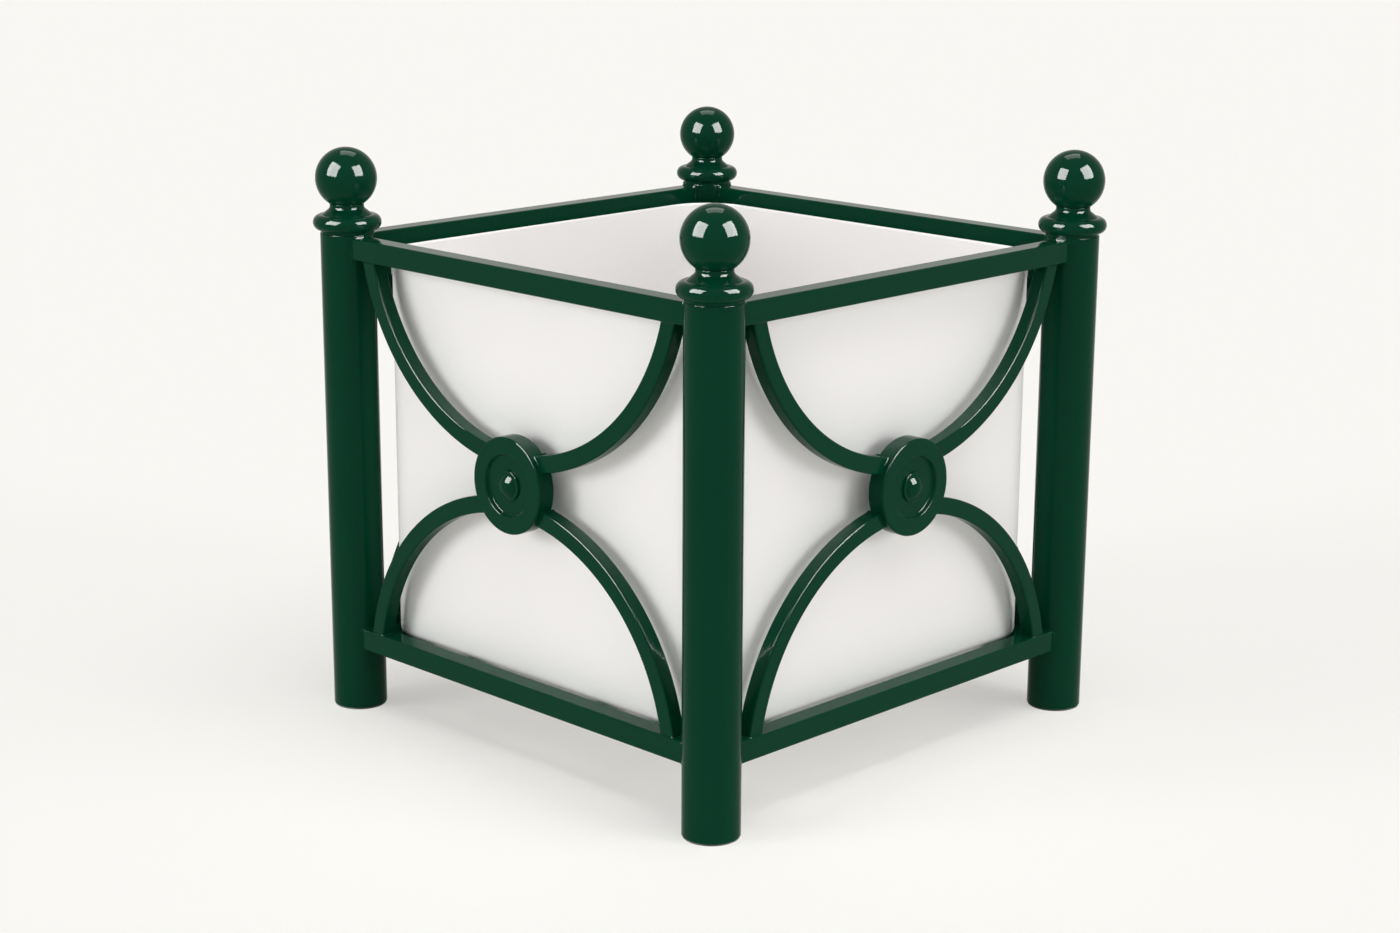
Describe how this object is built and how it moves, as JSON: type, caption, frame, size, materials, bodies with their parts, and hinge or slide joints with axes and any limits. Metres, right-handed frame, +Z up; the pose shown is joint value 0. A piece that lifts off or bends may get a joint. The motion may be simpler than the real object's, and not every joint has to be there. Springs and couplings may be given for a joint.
{
  "type": "garden planter",
  "caption": "Square garden planter: green painted steel frame with ball finials and curved crosses on its sides, round a lift-out white liner box.",
  "frame": {"origin": "on the floor, midway between the four posts", "axes": "+Z up, -Y towards the front side, +X to the right of the front side"},
  "size_m": [0.68, 0.68, 0.6797],
  "materials": {
    "green_paint": "glossy dark green powder coat",
    "white_liner": "smooth satin white moulding",
    "black_plug": "moulded black plastic",
    "bright_stud": "zinc plated steel thread"
  },
  "bodies": {
    "frame": {"post_front_left": "green_paint", "post_front_right": "green_paint", "post_back_left": "green_paint", "post_back_right": "green_paint", "foot_plug_front_left": "black_plug", "foot_plug_front_right": "black_plug", "foot_plug_back_left": "black_plug", "foot_plug_back_right": "black_plug", "finial_collar_front_left": "green_paint", "finial_collar_front_right": "green_paint", "finial_collar_back_left": "green_paint", "finial_collar_back_right": "green_paint", "finial_ball_front_left": "green_paint", "finial_ball_front_right": "green_paint", "finial_ball_back_left": "green_paint", "finial_ball_back_right": "green_paint", "finial_studs": "bright_stud", "top_rail_front": "green_paint", "top_rail_right": "green_paint", "top_rail_back": "green_paint", "top_rail_left": "green_paint", "bottom_rail_front": "green_paint", "bottom_rail_right": "green_paint", "bottom_rail_back": "green_paint", "bottom_rail_left": "green_paint", "arm_front_upper_left": "green_paint", "arm_front_upper_right": "green_paint", "arm_front_lower_left": "green_paint", "arm_front_lower_right": "green_paint", "arm_right_upper_left": "green_paint", "arm_right_upper_right": "green_paint", "arm_right_lower_left": "green_paint", "arm_right_lower_right": "green_paint", "arm_back_upper_left": "green_paint", "arm_back_upper_right": "green_paint", "arm_back_lower_left": "green_paint", "arm_back_lower_right": "green_paint", "arm_left_upper_left": "green_paint", "arm_left_upper_right": "green_paint", "arm_left_lower_left": "green_paint", "arm_left_lower_right": "green_paint", "boss_front": "green_paint", "boss_right": "green_paint", "boss_back": "green_paint", "boss_left": "green_paint", "dome_rivets": "green_paint", "corner_lug_front_left": "green_paint", "corner_lug_front_right": "green_paint", "corner_lug_back_left": "green_paint", "corner_lug_back_right": "green_paint", "corner_rest_front_left": "green_paint", "corner_rest_front_right": "green_paint", "corner_rest_back_left": "green_paint", "corner_rest_back_right": "green_paint", "cross_bar_left": "green_paint", "cross_bar_right": "green_paint"},
    "liner": {"liner": "white_liner"}
  },
  "joints": [
    {"name": "liner_lift", "type": "slide", "parent": "frame", "child": "liner", "axis": [0, 0, 1], "range_m": [0, 0.6]}
  ]
}
